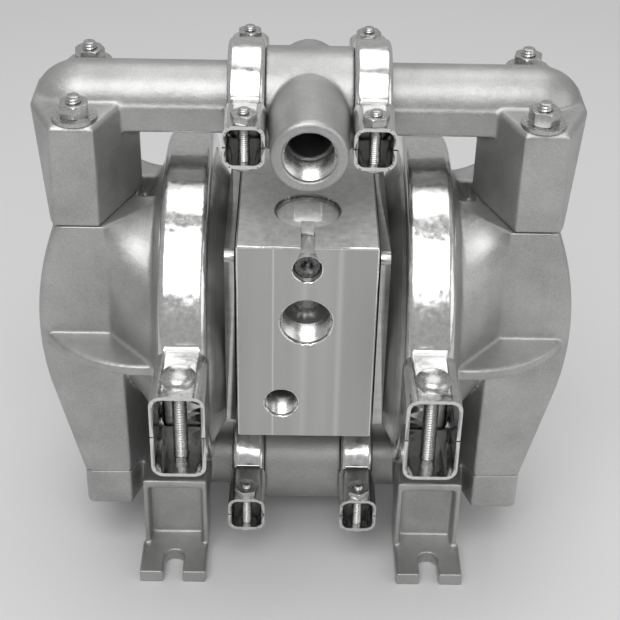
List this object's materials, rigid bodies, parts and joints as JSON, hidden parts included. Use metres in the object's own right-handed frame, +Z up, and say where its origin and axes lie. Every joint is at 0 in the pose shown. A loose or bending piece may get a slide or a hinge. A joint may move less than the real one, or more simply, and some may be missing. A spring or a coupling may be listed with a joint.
{
  "type": "air operated diaphragm pump",
  "caption": "Air operated double diaphragm pump with clamp bands, ball check valves, threaded discharge and inlet tees and slotted feet.",
  "frame": {"origin": "on the floor under the middle of the pump", "axes": "+X right seen from the discharge outlet's side, +Y away from that side, +Z up"},
  "size_m": [0.2298, 0.204, 0.2465],
  "materials": {
    "cast_metal": "cast, fine grain",
    "block_metal": "machined, satin",
    "air_chamber_metal": "cast and faced",
    "cap_metal": "satin",
    "band_steel": "polished stainless sheet",
    "fastener_steel": "plain stainless",
    "polished_metal": "ground",
    "seal_rubber": "matt",
    "diaphragm_rubber": "matt",
    "bearing_plastic": "matt",
    "ball_plastic": "matt"
  },
  "bodies": {
    "pump": {"air_chamber_left": "air_chamber_metal", "air_chamber_right": "air_chamber_metal", "center_block": "block_metal", "chamber_gaskets": "seal_rubber", "chamber_screws": "fastener_steel", "diaphragm_left": "diaphragm_rubber", "diaphragm_right": "diaphragm_rubber", "discharge_clamp_lower_left": "band_steel", "discharge_clamp_lower_right": "band_steel", "discharge_clamp_upper_left": "band_steel", "discharge_clamp_upper_right": "band_steel", "discharge_elbow_left": "cast_metal", "discharge_elbow_right": "cast_metal", "discharge_tee": "cast_metal", "inlet_clamp_lower_left": "band_steel", "inlet_clamp_lower_right": "band_steel", "inlet_clamp_upper_left": "band_steel", "inlet_clamp_upper_right": "band_steel", "inlet_elbow_left": "cast_metal", "inlet_elbow_right": "cast_metal", "inlet_tee": "cast_metal", "large_clamp_bolts": "fastener_steel", "large_clamp_lower_left": "band_steel", "large_clamp_lower_right": "band_steel", "large_clamp_nuts": "fastener_steel", "large_clamp_upper_left": "band_steel", "large_clamp_upper_right": "band_steel", "liquid_chamber_left": "cast_metal", "liquid_chamber_right": "cast_metal", "pilot_bushings": "bearing_plastic", "port_plug": "fastener_steel", "seat_o_rings": "seal_rubber", "shaft_bushings": "bearing_plastic", "shaft_seals": "seal_rubber", "small_clamp_bolts": "fastener_steel", "small_clamp_nuts": "fastener_steel", "tee_o_rings": "seal_rubber", "tie_stud_nuts": "fastener_steel", "tie_stud_washers": "fastener_steel", "tie_studs": "fastener_steel", "valve_cap_o_rings": "seal_rubber", "valve_end_cap_bottom": "cap_metal", "valve_end_cap_top": "cap_metal", "valve_seats": "polished_metal", "valve_snap_rings": "fastener_steel"},
    "shaft_group": {"diaphragm_shaft": "polished_metal", "inner_piston_left": "block_metal", "inner_piston_right": "block_metal", "outer_piston_left": "cast_metal", "outer_piston_right": "cast_metal"},
    "air_valve": {"air_valve_spool": "polished_metal"},
    "pilot": {"pilot_spool": "polished_metal"},
    "inlet_ball_left": {"inlet_ball_left": "ball_plastic"},
    "inlet_ball_right": {"inlet_ball_right": "ball_plastic"},
    "discharge_ball_left": {"discharge_ball_left": "ball_plastic"},
    "discharge_ball_right": {"discharge_ball_right": "ball_plastic"}
  },
  "joints": [
    {"name": "shaft_stroke", "type": "slide", "parent": "pump", "child": "shaft_group", "axis": [1, 0, 0], "range_m": [-0.008, 0.008], "deforming": ["diaphragm_left", "diaphragm_right"]},
    {"name": "air_valve_shift", "type": "slide", "parent": "pump", "child": "air_valve", "axis": [0, 0, 1], "range_m": [0, 0.008]},
    {"name": "pilot_shift", "type": "slide", "parent": "pump", "child": "pilot", "axis": [1, 0, 0], "range_m": [-0.004, 0.004]},
    {"name": "inlet_ball_lift_left", "type": "slide", "parent": "pump", "child": "inlet_ball_left", "axis": [0, 0, 1], "range_m": [0, 0.0055]},
    {"name": "inlet_ball_lift_right", "type": "slide", "parent": "pump", "child": "inlet_ball_right", "axis": [0, 0, 1], "range_m": [0, 0.0055]},
    {"name": "discharge_ball_lift_left", "type": "slide", "parent": "pump", "child": "discharge_ball_left", "axis": [0, 0, 1], "range_m": [0, 0.0055]},
    {"name": "discharge_ball_lift_right", "type": "slide", "parent": "pump", "child": "discharge_ball_right", "axis": [0, 0, 1], "range_m": [0, 0.0055]}
  ]
}
